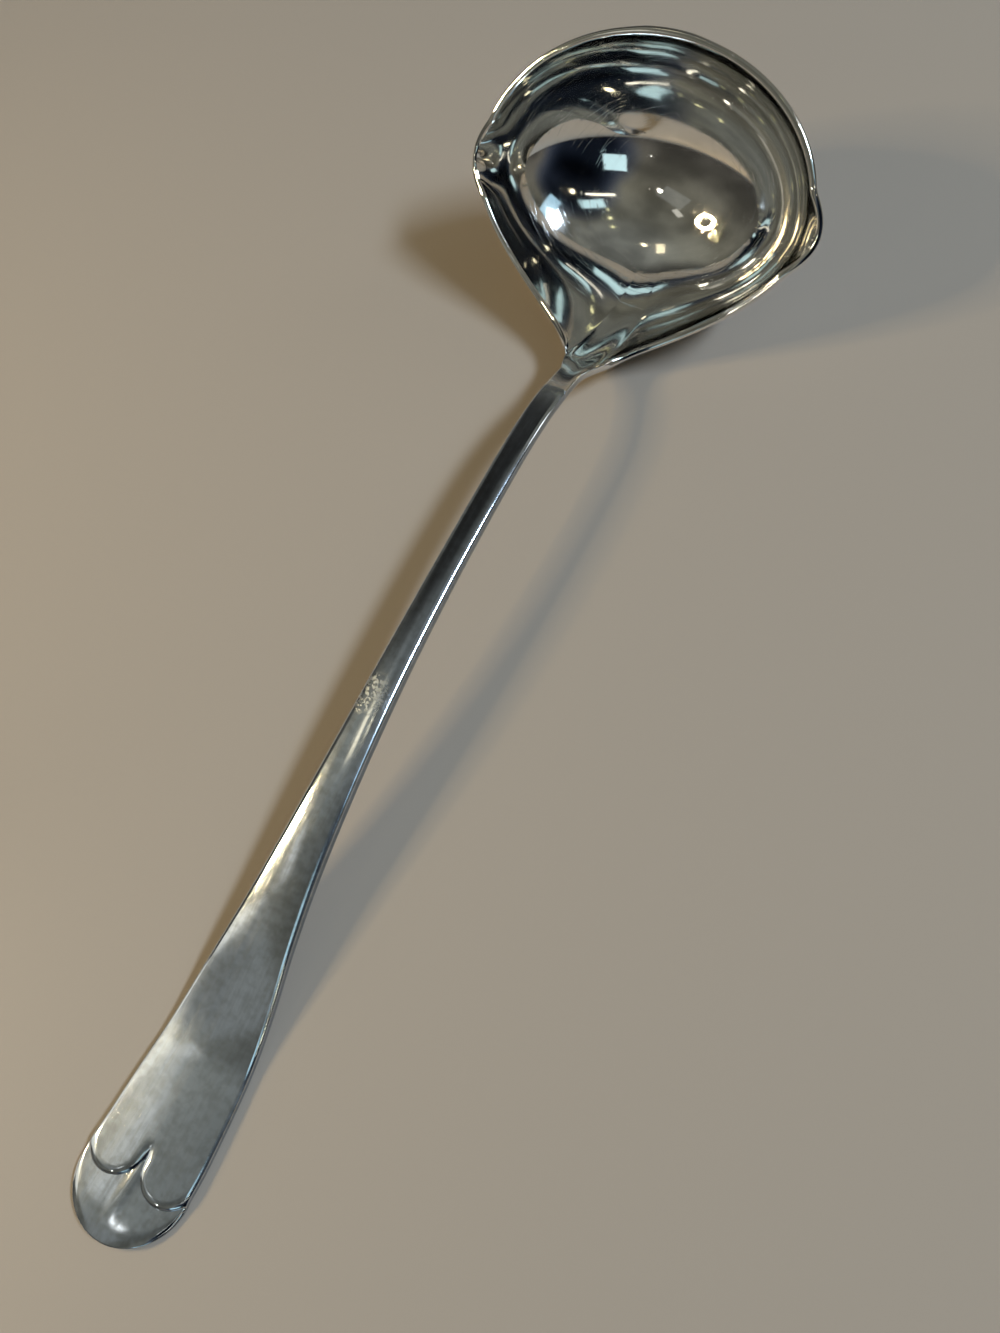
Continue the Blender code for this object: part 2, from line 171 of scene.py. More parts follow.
# Where the lamps are aimed; a lamp aimed past the end has its back to the bowl
BOWL_AIM = Vector((0, 0.14, 0.01))
HANDLE_AIM = Vector((0, -0.04, 0.02))
END_AIM = Vector((0, -0.13, 0))
PAST_END_AIM = Vector((-0.013, -0.275, 0.044))

# Lamps: name, aim, azimuth from +Y towards +X, elevation, distance, size, power, colour
LAMPS = [
    ("cool_right", BOWL_AIM, 76, 48, 3.0, (1.04, 0.36), 76.0, (0.68, 0.83, 1.0)),
    ("window", BOWL_AIM, 165, 20, 1.8, (0.40, 0.40), 0.50, (0.66, 0.94, 1.0)),
    ("high_window", BOWL_AIM, 140, 52, 1.8, (0.50, 0.20), 0.30, (0.66, 0.94, 1.0)),
    ("strip", BOWL_AIM, 151, 45, 1.8, (0.55, 0.04), 0.20, (1.0, 0.95, 0.80)),
    ("lower_spot", BOWL_AIM, 155, 56, 1.8, (0.05, 0.05), 0.009, (1.0, 0.97, 0.50)),
    ("spot", BOWL_AIM, 155, 63, 1.8, (0.06, 0.06), 0.022, (1.0, 0.97, 0.50)),
    ("upper_spot", BOWL_AIM, 156, 71, 1.8, (0.05, 0.05), 0.015, (1.0, 0.97, 0.45)),
    ("side_spot", BOWL_AIM, 128, 41, 1.8, (0.04, 0.04), 0.15, (1.0, 0.92, 0.65)),
    ("ceiling", BOWL_AIM, -133, 76, 1.8, (0.05, 0.05), 0.05, (1.0, 0.88, 0.60)),
    ("back_left", BOWL_AIM, -167, 34, 1.8, (0.05, 0.05), 0.3, (1.0, 0.95, 0.80)),
    ("overhead", HANDLE_AIM, -103, 70, 2.0, (0.28, 0.17), 0.18, (1.0, 0.85, 0.55)),
    ("end_light", END_AIM, -115, 60, 0.5, (0.07, 0.035), 0.0035, (1.0, 0.97, 0.88)),
    ("end_panel", END_AIM, -138, 52, 0.5, (0.175, 0.11), 0.005, (0.90, 0.97, 1.0)),
    ("low_left", PAST_END_AIM, -58, 14, 0.15, (0.13, 0.145), 0.047, (1.0, 0.94, 0.78)),
    ("tongue_spot", END_AIM, -151.5, 54, 0.114, (0.005, 0.005), 0.0002, (1.0, 0.98, 0.90)),
    ("cool_glow", BOWL_AIM, 88, 43, 1.8, (0.90, 0.30), 0.70, (0.50, 0.80, 1.0)),
    ("far_right", HANDLE_AIM, 42, 28, 1.5, (0.30, 0.30), 0.8, (1.0, 0.98, 0.93)),
]

# Ring lamp at the left: bulbs round a ring, each of this size and power
RING_LAMP = ("ring_lamp", HANDLE_AIM, -115, 42, 0.7, (0.015, 0.015), 0.16, (1.0, 0.80, 0.46))
RING_BULBS = 16
RING_RADIUS = 0.062

# Room: colours by height, from the horizon to overhead, and how uneven they are
ROOM_STOPS = [
    (0.0, (0.085, 0.08, 0.07, 1.0)),
    (0.3, (0.12, 0.115, 0.095, 1.0)),
    (0.6, (0.15, 0.145, 0.115, 1.0)),
    (0.85, (0.18, 0.18, 0.15, 1.0)),
    (1.0, (0.22, 0.23, 0.21, 1.0)),
]
ROOM_PATCH_SCALE = 1.7
ROOM_UNEVEN = (0.5, 1.2)

# Dark sides of the room: azimuth, elevation, level and colour; cosines of where they begin and end
NAVY = (0.06, 0.09, 0.16, 1.0)
GREY = (0.12, 0.12, 0.11, 1.0)
DARK_SIDES = [(130, 34, 0.12, NAVY), (148, 12, 0.12, NAVY), (-42, 48, 0.25, GREY)]
DARK_BEGIN = 0.84
DARK_END = 0.97

# Camera of the photograph, on an image 1000 pixels wide and 1333 high
IMAGE_HEIGHT = 1333
FOCAL_PIXELS = 1000
SENSOR = 36.0
CLIP_START = 0.005
CAMERA_PLACE = Vector((0.10427, 0.08945, 0.2455))
CAMERA_RIGHT = Vector((0.87333, 0.45821, -0.16534))
CAMERA_DOWN = Vector((0.36901, -0.84387, -0.38951))

# Colours of tarnish on the silver, of soil with painted shade on its sides, and of the paper under it
TARNISH_TINT = (0.36, 0.38, 0.38, 1.0)
SOIL_AND_SHADE_TINT = (0.16, 0.19, 0.22, 1.0)
PAPER_TINT = (0.36, 0.305, 0.25, 1.0)
PAPER_ROUGH = 0.9
FLOOR_REACH = 4.0

# Looks of the polished bowl and the worn handle: colour, roughness and relief of their silver
BOWL_LOOK = {
    "tint": (0.88, 0.87, 0.84, 1.0),
    "tarnish": 0.2,
    "tarnish_scale": 60.0,
    "speckle_scale": 400.0,
    "speckle": 0.05,
    "streak_dull": 0.05,
    "rub_rough": 0.0,
    "rough": 0.02,
    "neck_rough": 0.12,
    "side_soil_and_shade": 0.0,
    "scuff_rough": 0.08,
    "smudge_scale": 45.0,
    "smudge_rough": 0.05,
    "streak_scale": 3.0,
    "streak_rough": 0.03,
    "fine_scale": 14.0,
    "fine_height": 0.000003,
    "line_scale": 2.2,
    "line_width": 0.008,
    "line_rough": 0.15,
    "line_depth": 0.000004,
    "patch_scale": 50.0,
    "wave_scale": 55.0,
    "wave_height": 0.00006,
}
HANDLE_LOOK = {
    # Bluish tint: partly a tarnish film, partly a painted bluish cast of the room's reflections
    "tint": (0.72, 0.79, 0.90, 1.0),
    "tarnish": 0.35,
    "tarnish_scale": 45.0,
    "speckle_scale": 450.0,
    "speckle": 0.3,
    "streak_dull": 0.15,
    "rub_rough": 0.25,
    "rough": 0.09,
    "neck_rough": 0.0,
    # Darkening of the rounded sides: partly soil, partly painted shade for dark reflections of the shadowed
    # floor
    "side_soil_and_shade": 0.6,
    "scuff_rough": 0.05,
    "smudge_scale": 40.0,
    "smudge_rough": 0.035,
    "streak_scale": 1.0,
    "streak_rough": 0.03,
    "fine_scale": 6.0,
    "fine_height": 0.0000008,
    "line_scale": 1.6,
    "line_width": 0.012,
    "line_rough": 0.04,
    "line_depth": 0.0000008,
    "patch_scale": 60.0,
    "wave_scale": 45.0,
    "wave_height": 0.000015,
}


def smooth(x):
    """Ease from 0 to 1 as x goes from 0 to 1."""
    x = min(max(x, 0.0), 1.0)
    return x * x * (3 - 2 * x)


def hermite(start, end, start_tangent, end_tangent, u):
    """Cubic between two values or vectors with given tangents."""
    a = 2 * u**3 - 3 * u**2 + 1
    b = u**3 - 2 * u**2 + u
    c = -2 * u**3 + 3 * u**2
    d = u**3 - u**2
    return start * a + start_tangent * b + end * c + end_tangent * d


def through(stations, x):
    """Value at x of the smooth curve through (place, value, slope) stations."""
    for (x0, v0, s0), (x1, v1, s1) in zip(stations, stations[1:]):
        if x <= x1:
            span = x1 - x0
            return hermite(v0, v1, s0 * span, s1 * span, (x - x0) / span)
    return stations[-1][1]


def bezier(p0, p1, p2, p3, t):
    """Point of a cubic Bezier curve."""
    s = 1 - t
    return p0 * s**3 + p1 * (3 * s * s * t) + p2 * (3 * s * t * t) + p3 * t**3


def lean_up(angle):
    """Direction up the neck when it leans back from the bowl by the angle."""
    return Vector((0, -math.sin(angle), math.cos(angle)))


def lean_back(angle):
    """Direction square to the neck, away from the bowl."""
    return Vector((0, -math.cos(angle), -math.sin(angle)))


def lip_bulge(y):
    """Share of the lip's reach at distance y from the middle of the lip."""
    along = 2 * y / LIP_LENGTH
    return max(0.0, 1 - along * along) ** LIP_ROUNDNESS


def neck_web(height):
    """Extra half width at a height, where rounded webs fill the corners between rim and neck."""
    away = (height - NECK_ROOT_HEIGHT) / NECK_WEB_RUN
    return NECK_WEB * max(0.0, 1 - away * away) ** 2


def inner_rim():
    """Inner edge of the rim on the +x side, from the far point to the root of the neck."""
    half = BOWL_WIDTH / 2 - RIM_THICKNESS
    far = BOWL_FAR_REACH - RIM_THICKNESS
    below_top = -EDGE_SHARE * RIM_THICKNESS
    points = []
    for i in range(QUARTER_COLUMNS):
        angle = math.pi / 2 * i / QUARTER_COLUMNS
        points.append(Vector((half * math.sin(angle), far * math.cos(angle), below_top)))
    root = neck_point(1, 0) - Vector((NECK_WEB, 0, 0))
    leaving = Vector((0, -SHOULDER_RUN, 0))
    up = lean_up(NECK_ROOT_LEAN)
    rising = (up + Vector((-NECK_ROOT_TAPER, 0, 0))) * NECK_ROOT_RISE
    widest = Vector((half, 0, below_top))
    for i in range(SHOULDER_COLUMNS + 1):
        point = hermite(widest, root, leaving, rising, i / SHOULDER_COLUMNS)
        points.append(point + Vector((neck_web(point.z), 0, 0)))
    return points


def wall_waist(start):
    """Plan of the wall below a rim point: the rim's own at the far side, a half oval at the near side."""
    if start.y >= 0:
        return Vector((start.x, start.y, 0))
    side = start.x / (BOWL_WIDTH / 2 - RIM_THICKNESS)
    return Vector((start.x, -WAIST_NEAR_REACH * math.sqrt(1 - side * side), 0))


def wall_top(start):
    """Height the wall would have above a rim point if the rim did not fall away from the neck."""
    if start.y >= 0:
        return start.z
    low = -EDGE_SHARE * RIM_THICKNESS
    beside = (abs(start.x) - neck_point(1, 0).x) / NECK_SKIRT
    return NECK_ROOT_HEIGHT + (low - NECK_ROOT_HEIGHT) * smooth(beside)


def fall_place(p0, p1, p2, p3, height):
    """Place along a falling Bezier curve, run on before its start if need be, where it reaches a height."""
    above = -1.0
    below = 1.0
    for _ in range(CUT_STEPS):
        place = (above + below) / 2
        if bezier(p0, p1, p2, p3, place).z > height:
            above = place
        else:
            below = place
    return place


def wall_column(start):
    """Points of the inner wall from a rim point down to the last one before the middle of the floor."""
    waist = wall_waist(start)
    floor = Vector((0, -FLOOR_SETBACK, -BOWL_DEPTH))
    knee = waist + Vector((0, 0, -WALL_FULLNESS * BOWL_DEPTH))
    bend = floor + (waist - Vector((0, floor.y, 0))) * FLOOR_FULLNESS
    above = (wall_top(start) - start.z) / (start.z - knee.z)
    top = start + (start - knee) * above
    cut = fall_place(top, knee, bend, floor, start.z)
    shift = start - bezier(top, knee, bend, floor, cut)
    side = math.copysign(1, start.x)
    lip = Vector((side * LIP_REACH, 0, -LIP_DROP)) * lip_bulge(start.y)
    points = []
    for j in range(WALL_ROWS):
        down = j / WALL_ROWS
        point = bezier(top, knee, bend, floor, down + cut * (1 - down) ** 2)
        fade = max(0.0, 1 - down / LIP_FADE) ** 2
        points.append(point + shift * (1 - down) ** 3 + lip * fade)
    return points


def shell_thickness(point):
    """Metal thickness of the bowl behind a point of its inner face."""
    rim = (RIM_THICKNESS - WALL) * (1 - smooth(-point.z / RIM_FADE))
    rise = smooth((point.z + HEEL_DROP) / (JOINT_HEIGHT + HEEL_DROP))
    beside = 1 - smooth((abs(point.x) - NECK_ROOT_WIDTH / 2) / HEEL_SPREAD)
    heel = (STEM_THICKNESS - RIM_THICKNESS) * rise * beside
    return WALL + rim + heel


def neck_point(across, q):
    """Point of the neck's front face, q = 0 at its root and q = 1 at the scarf joint."""
    root = Vector((0, -NECK_ROOT_REACH, NECK_ROOT_HEIGHT))
    span = (JOINT_FRONT - root).length
    up_root = lean_up(NECK_ROOT_LEAN) * span
    up_joint = lean_up(JOINT_LEAN) * span
    middle = hermite(root, JOINT_FRONT, up_root, up_joint, q)
    narrowing = -NECK_ROOT_TAPER * span
    half = hermite(NECK_ROOT_WIDTH / 2, STEM_WIDTH / 2, narrowing, 0, q)
    half += neck_web(middle.z) - EDGE_SHARE * shell_thickness(middle)
    hollow = NECK_HOLLOW * ((1 - across * across) * (1 - q)) ** 2
    return middle + Vector((half * across, -hollow, 0))


def scarf_vector():
    """From the front edge of the scarf joint to its back edge, in the level bowl's frame."""
    along = lean_up(JOINT_LEAN) * math.tan(SCARF_ANGLE)
    return (lean_back(JOINT_LEAN) + along) * STEM_THICKNESS


def film_vector():
    """Along the stem through the solder film, in the level bowl's frame."""
    return lean_up(JOINT_LEAN) * (SOLDER_FILM / math.cos(SCARF_ANGLE))


def edge_directions(front, back, faces, edge, seam):
    """Direction out of the sheet at each edge vertex: square to the edge, or along the seam at its ends."""
    inside = {index: Vector() for index in edge}
    for face in faces:
        for index in inside.keys() & set(face):
            for other in face:
                inside[index] += front[other] - front[index]
    outward = {}
    for k, index in enumerate(edge):
        before = front[edge[max(k - 1, 0)]]
        after = front[edge[min(k + 1, len(edge) - 1)]]
        square = (after - before).cross(back[index] - front[index]).normalized()
        outward[index] = square if square.dot(inside[index]) < 0 else -square
    for end, beside in ((seam[0], seam[1]), (seam[-1], seam[-2])):
        outward[end] = (front[end] - front[beside]).normalized()
    return outward


def rounded_edge(front, back, outward, size):
    """Section of a free edge, from the front sheet round two corners to the back sheet."""
    deep = (back - front).normalized() * size
    out = outward * size
    near = []
    far = []
    for i in range(EDGE_STEPS + 1):
        u = i / EDGE_STEPS
        beside = out * bezier(0, BEVEL_RUN, 1, 1, u)
        below = deep * bezier(0, BEVEL_FALL, BEVEL_TURN, 1, u)
        near.append(front + beside + below)
        far.append(back + beside - below)
    return near + far[::-1]


def rounded_solid(front, back, faces, edge, seam, thicknesses, grain):
    """Closed body between two sheets: rounded free edge, flat seam, and each vertex's grain and side."""
    bm = bmesh.new()
    layer = bm.verts.layers.float_vector.new("grain")
    side = bm.verts.layers.float.new("side")

    def add(point, index, steps=0):
        """Vertex with the grain of a sheet point, some steps round the free edge from the front."""
        vert = bm.verts.new(point)
        vert[layer] = grain[index] + Vector((0, 0, EDGE_GRAIN * steps))
        vert[side] = min(steps / EDGE_STEPS, 1.0)
        return vert

    front_verts = [add(point, i) for i, point in enumerate(front)]
    back_verts = [add(point, i) for i, point in enumerate(back)]
    outward = edge_directions(front, back, faces, edge, seam)
    bands = []
    for index in edge:
        size = EDGE_SHARE * thicknesses[index]
        section = rounded_edge(front[index], back[index], outward[index], size)
        corners = [add(point, index, k + 1) for k, point in enumerate(section[1:-1])]
        bands.append([front_verts[index]] + corners + [back_verts[index]])
    for face in faces:
        bm.faces.new([front_verts[i] for i in face])
        bm.faces.new([back_verts[i] for i in reversed(face)])
    for here, after in zip(bands, bands[1:]):
        for k in range(len(here) - 1):
            bm.faces.new([here[k], here[k + 1], after[k + 1], after[k]])
        for end in (0, -1):
            bm.edges.get([here[end], after[end]]).smooth = False
    middle = seam[1:-1]
    cut = bands[0] + [back_verts[i] for i in middle]
    cut += bands[-1][::-1] + [front_verts[i] for i in reversed(middle)]
    bm.faces.new(cut)
    return bm


def add_piece(name, bm, material, node):
    """Closed body as a piece that stands for a node and rides on the ladle."""
    bmesh.ops.recalc_face_normals(bm, faces=bm.faces)
    for face in bm.faces:
        face.smooth = True
    for edge in bm.edges:
        if edge.calc_face_angle(0) > SHARP_ANGLE:
            edge.smooth = False
    mesh = bpy.data.meshes.new(name)
    bm.to_mesh(mesh)
    bm.free()
    mesh.materials.append(material)
    piece = bpy.data.objects.new(name, mesh)
    bpy.context.scene.collection.objects.link(piece)
    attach(piece, "root")
    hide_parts(node)


def bowl_sheet():
    """Inner face of the bowl and neck: points, faces, free edge, scarf seam and grain."""
    starts = inner_rim()
    corner = len(starts) - 1
    starts += [neck_point(1 - k / NECK_COLUMNS, 0) for k in range(1, NECK_COLUMNS + 1)]
    flip = Vector((-1, 1, 1))
    starts += [p * flip for p in starts[-2:0:-1]]
    count = len(starts)
    points = []
    grain = []
    for start in starts:
        waist = wall_waist(start)
        ring = Vector((waist.x, waist.y + FLOOR_SETBACK, 0)).normalized() * BOWL_GRAIN_RADIUS
        points += wall_column(start)
        grain += [ring + Vector((0, 0, BOWL_GRAIN_DEPTH * j / WALL_ROWS)) for j in range(WALL_ROWS)]
    faces = []
    for c in range(count):
        after = (c + 1) % count
        for j in range(WALL_ROWS - 1):
            a = c * WALL_ROWS + j
            b = after * WALL_ROWS + j
            faces.append((a, a + 1, b + 1, b))
    pole = len(points)
    points.append(Vector((0, -FLOOR_SETBACK, -BOWL_DEPTH)))
    grain.append(Vector((0, 0, BOWL_GRAIN_DEPTH)))
    for c in range(count):
        last = c * WALL_ROWS + WALL_ROWS - 1
        following = ((c + 1) % count) * WALL_ROWS + WALL_ROWS - 1
        faces.append((last, pole, following))
    below = [(corner + k) * WALL_ROWS for k in range(2 * NECK_COLUMNS + 1)]
    rows = [below]
    for r in range(1, NECK_ROWS + 1):
        row = []
        for k in range(2 * NECK_COLUMNS + 1):
            row.append(len(points))
            points.append(neck_point(1 - k / NECK_COLUMNS, r / NECK_ROWS))
            grain.append(grain[below[k]] - Vector((0, 0, BOWL_GRAIN_DEPTH * r / WALL_ROWS)))
        rows.append(row)
    for lower, upper in zip(rows, rows[1:]):
        for k in range(2 * NECK_COLUMNS):
            faces.append((upper[k], lower[k], lower[k + 1], upper[k + 1]))
    left_rim = [c * WALL_ROWS for c in range(corner + 2 * NECK_COLUMNS + 1, count)]
    right_rim = [c * WALL_ROWS for c in range(corner)]
    edge = [row[-1] for row in reversed(rows)] + left_rim + right_rim + [row[0] for row in rows]
    return points, faces, edge, rows[-1][::-1], grain


def offset_sheet(points, faces, seam):
    """Back face of the bowl: the inner face set off by the metal's thickness."""
    normals = [Vector() for _ in points]
    for face in faces:
        a, b, c = (points[i] for i in face[:3])
        normal = (b - a).cross(c - a)
        if len(face) == 4:
            normal = (points[face[2]] - a).cross(points[face[3]] - b)
        for index in face:
            normals[index] += normal
    outward = -1 if normals[0].y < 0 else 1
    back = []
    for index, point in enumerate(points):
        away = normals[index].normalized() * outward
        back.append(point + away * shell_thickness(point))
    for index in seam:
        back[index] = points[index] + scarf_vector()
    return back


def make_bowl(material, end):
    """Raised bowl with rim, lips, heel and neck. Returns where the level bowl is placed."""
    front, faces, edge, seam, grain = bowl_sheet()
    back = offset_sheet(front, faces, seam)
    bm = rounded_solid(front, back, faces, edge, seam, [shell_thickness(p) for p in front], grain)
    turn = Matrix.Rotation(BOWL_TILT, 4, "X")
    lowest = min((turn @ p).z for p in back)
    place = Matrix.Translation((0, end + HANDLE_REACH - (turn @ JOINT_FRONT).y, -lowest)) @ turn
    bmesh.ops.transform(bm, matrix=place, verts=bm.verts)
    add_piece("ladle_bowl", bm, material, "bowl")
    return place


def make_solder(material, place):
    """Film of solder that fills the scarf joint, dressed flush with the metal."""
    right = Vector((1, 0, 0))
    size = EDGE_SHARE * STEM_THICKNESS
    half = right * (STEM_WIDTH / 2 - size)
    back = JOINT_FRONT + scarf_vector()
    ring = rounded_edge(JOINT_FRONT + half, back + half, right, size)
    ring += rounded_edge(JOINT_FRONT - half, back - half, -right, size)[::-1]
    bm = bmesh.new()
    bm.verts.layers.float_vector.new("grain")
    lower = [bm.verts.new(place @ point) for point in ring]
    upper = [bm.verts.new(place @ (point + film_vector())) for point in ring]
    bm.faces.new(lower)
    bm.faces.new(upper)
    for k in range(len(ring)):
        after = (k + 1) % len(ring)
        bm.faces.new([lower[k], lower[after], upper[after], upper[k]])
    add_piece("ladle_neck_solder", bm, material, "neck_solder")


def lobe_across(w):
    """Place across the nearer lobe, at w from the middle line: 0 in its middle and 1 at its side."""
    centre = LOBE_SHARE * END_WIDTH
    return (abs(w) - centre) / (centre + LOBE_OVERLAP)


def lobe_edge(w):
    """Distance from the handle's end to the edge of the raised lobes, at w from the middle line."""
    return LOBE_CENTRE - LOBE_REACH * math.sqrt(1 - lobe_across(w) ** 2)


def lobe_drop(w, y):
    """Drop of the top face where it rounds off towards the edge of the lobes."""
    along = max(0.0, LOBE_CENTRE - y) / LOBE_REACH
    inside = (1 - math.hypot(lobe_across(w), along)) * LOBE_REACH
    turned = min(max(1 - inside / STEP_RUN, 0.0), 1.0)
    fade = 1 - smooth((y - LOBE_CENTRE) / VALLEY_RUN)
    return STEP_HEIGHT * (1 - math.sqrt(1 - turned * turned)) * fade


def handle_lines(joint):
    """Middle height, half width and thickness along the handle, as stations from its end."""
    slope = joint["slope"]
    rest = END_THICKNESS / 2
    heights = [
        (0, rest + TONGUE_LIFT, -2 * TONGUE_LIFT / REST_START),
        (REST_START, rest, 0),
        (REST_END, rest, 0),
        (RISE_AT, RISE_HEIGHT, RISE_SLOPE),
        (ARCH_AT, ARCH_HEIGHT, 0),
        (joint["at"], joint["height"], slope),
    ]
    widths = [
        (0, END_WIDTH / 2, 0),
        (END_AT, END_WIDTH / 2, END_SLOPE),
        (FLARE_AT, FLARE_WIDTH / 2, FLARE_SLOPE),
        (WAIST_AT, WAIST_WIDTH / 2, WAIST_SLOPE),
        (ARCH_AT, STEM_WIDTH / 2, 0),
        (joint["at"], STEM_WIDTH / 2, 0),
    ]
    thicknesses = [
        (0, END_THICKNESS, 0),
        (REST_END, END_THICKNESS, 0),
        (SPINE_AT, SPINE_THICKNESS, 0),
        (joint["at"], STEM_THICKNESS, 0),
    ]
    return heights, widths, thicknesses


def column_share(k, y):
    """Place of column k across the handle, from -1 to 1; columns gather at the sides of the round end."""
    even = 2 * k / HANDLE_COLUMNS - 1
    gathered = math.sin(math.pi / 2 * even)
    return gathered + (even - gathered) * smooth((y - REST_START) / (FLARE_AT - REST_START))


def handle_rows(k, joint):
    """Places along column k of the handle, each with the drop of the top face there."""
    rows = []
    places = [joint["at"], ARCH_AT, WAIST_AT, FLARE_AT, REST_END, REST_START]
    counts = [STATION_ROWS, 2 * STATION_ROWS, STATION_ROWS // 2, STATION_ROWS, STATION_ROWS // 3]
    for start, end, count in zip(places, places[1:], counts):
        rows += [(start + (end - start) * i / count, 0.0) for i in range(count)]
    share = column_share(k, 0)
    half = END_WIDTH / 2 - EDGE_SHARE * END_THICKNESS
    lobe = lobe_edge(share * half)
    for i in range(LOBE_ROWS):
        y = lobe + (REST_START - lobe) * (1 - math.sin(math.pi / 2 * i / LOBE_ROWS))
        rows.append((y, lobe_drop(share * half, y)))
    tip = EDGE_SHARE * (END_THICKNESS - STEP_HEIGHT - TONGUE_FALL)
    rounding = 1 - math.sqrt(1 - min(1.0, share * share))
    outline = tip + (TONGUE_SHARE * lobe_edge(half) - tip) * rounding
    for i in range(TONGUE_ROWS + 1):
        gone = i / TONGUE_ROWS
        ridge = TONGUE_RIDGE * max(0.0, 1 - abs(share) / RIDGE_SHARE) * (1 - gone)
        drop = STEP_HEIGHT - ridge + TONGUE_FALL * gone**TONGUE_FALL_POWER
        rows.append((lobe + (outline - lobe) * gone, drop))
    return rows


def handle_direction(heights, y, joint):
    """Direction along the handle towards its end, at y."""
    near = max(y - SLOPE_STEP, 0)
    far = min(y + SLOPE_STEP, joint["at"])
    slope = (through(heights, far) - through(heights, near)) / (far - near)
    if y == joint["at"]:
        slope = joint["slope"]
    return Vector((0, -1, -slope)).normalized()


def handle_sheets(joint):
    """Top and bottom faces of the handle, with faces, free edge, scarf seam, thickness and grain."""
    heights, widths, stations = handle_lines(joint)
    top = []
    bottom = []
    thicknesses = []
    grain = []
    for k in range(HANDLE_COLUMNS + 1):
        column = handle_rows(k, joint)
        for y, drop in column:
            on_tongue = smooth(drop / (STEP_HEIGHT - TONGUE_RIDGE))
            width = 2 * through(widths, y) * (1 - on_tongue) + TONGUE_WIDTH * on_tongue
            share = column_share(k, y)
            along = handle_direction(heights, y, joint)
            up = Vector((0, along.z, -along.y))
            thickness = through(stations, y)
            thicknesses.append(thickness - drop)
            drift = END_DRIFT * smooth(1 - y / REST_START)
            across = share * (width / 2 - EDGE_SHARE * (thickness - drop)) - drift
            middle = Vector((across, y, through(heights, y)))
            from_joint = smooth((joint["at"] - y) / (joint["at"] - ARCH_AT))
            crown = STEM_CROWN * (1 - share * share) * from_joint
            cut = along * (math.tan(SCARF_ANGLE) * thickness / 2 * (1 - from_joint))
            top.append(middle + up * (thickness / 2 + crown - drop) - cut)
            bottom.append(middle - up * (thickness / 2) + cut)
            grain.append(Vector((middle.x * HANDLE_GRAIN_ACROSS, y * HANDLE_GRAIN_ALONG, 0)))
    rows = len(column)
    faces = []
    for k in range(HANDLE_COLUMNS):
        for i in range(rows - 1):
            a = k * rows + i
            b = a + rows
            faces.append((a, a + 1, b + 1, b))
    first = [k * rows for k in range(HANDLE_COLUMNS, -1, -1)]
    edge = [first[0] + i for i in range(rows)]
    edge += [index + rows - 1 for index in first[1:]]
    edge += list(range(rows - 2, -1, -1))
    return top, bottom, faces, edge, first, thicknesses, grain


def make_handle(material, place, end):
    """Forged handle, from the scarf joint to the struck end, which lies at y = end."""
    to_frame = Matrix.Translation((0, end, 0))
    on_bowl = to_frame.inverted() @ place
    middle = on_bowl @ (JOINT_FRONT + film_vector() + scarf_vector() / 2)
    direction = place.to_3x3() @ lean_up(JOINT_LEAN)
    joint = {"at": middle.y, "height": middle.z, "slope": direction.z / direction.y}
    bm = rounded_solid(*handle_sheets(joint))
    bmesh.ops.transform(bm, matrix=to_frame, verts=bm.verts)
    add_piece("ladle_handle", bm, material, "handle")


def add_node(tree, kind, settings=None, inputs=None):
    """Node of a material, with its settings, and inputs that are sockets to link or plain values."""
    node = tree.nodes.new(kind)
    for name, value in (settings or {}).items():
        setattr(node, name, value)
    for name, value in (inputs or {}).items():
        if isinstance(value, bpy.types.NodeSocket):
            tree.links.new(value, node.inputs[name])
        else:
            node.inputs[name].default_value = value
    return node


def noise(tree, vector, scale, detail=3.0, distortion=0.0):
    """Noise value, from 0 to 1 and mostly near the middle."""
    inputs = {"Vector": vector, "Scale": scale, "Detail": detail, "Distortion": distortion}
    return add_node(tree, "ShaderNodeTexNoise", inputs=inputs).outputs["Fac"]


def stretch(tree, value, low, high, to_low=0.0, to_high=1.0):
    """Value mapped from one range to another, smoothly and without leaving it."""
    settings = {"interpolation_type": "SMOOTHSTEP"}
    inputs = {"Value": value, "From Min": low, "From Max": high, "To Min": to_low, "To Max": to_high}
    return add_node(tree, "ShaderNodeMapRange", settings, inputs).outputs["Result"]


def combine(tree, operation, a, b):
    """Two values put together by a sum, product or other operation."""
    return add_node(tree, "ShaderNodeMath", {"operation": operation}, {0: a, 1: b}).outputs["Value"]


def scratches(tree, place, turn):
    """Short straight scratches that lie across the table plane at an angle: 1 on a scratch and 0 off it."""
    inputs = {"Vector": place, "Rotation": (0, 0, turn), "Scale": SCRATCH_SCALE}
    slanted = add_node(tree, "ShaderNodeMapping", inputs=inputs).outputs["Vector"]
    return stretch(tree, noise(tree, slanted, 1.0, 2.0), 0.64, 0.74)


def rubbed(tree, place):
    """Worn spot on the handle's waist, made of short broken scratches: 1 where it is rubbed bare."""
    away = add_node(tree, "ShaderNodeVectorMath", {"operation": "DISTANCE"}, {0: place, 1: RUB_PLACE})
    near = stretch(tree, away.outputs["Value"], RUB_CORE, RUB_REACH, 1.0, 0.0)
    broken = stretch(tree, noise(tree, place, RUB_SCALE, 6.0, 1.0), 0.42, 0.58)
    return combine(tree, "MULTIPLY", near, broken)


def mixed(tree, share, a, b):
    """Colour between a and b."""
    settings = {"data_type": "RGBA"}
    node = add_node(tree, "ShaderNodeMix", settings)
    for socket, value in ((node.inputs[0], share), (node.inputs[6], a), (node.inputs[7], b)):
        if isinstance(value, bpy.types.NodeSocket):
            tree.links.new(value, socket)
        else:
            socket.default_value = value
    return node.outputs[2]


def hairlines(tree, vector, scale, width):
    """Thin lines along the level lines of a noise: 1 on a line and 0 away from it."""
    away = combine(tree, "ABSOLUTE", combine(tree, "SUBTRACT", noise(tree, vector, scale, 2.0), 0.5), 0.0)
    return stretch(tree, away, 0.0, width, 1.0, 0.0)


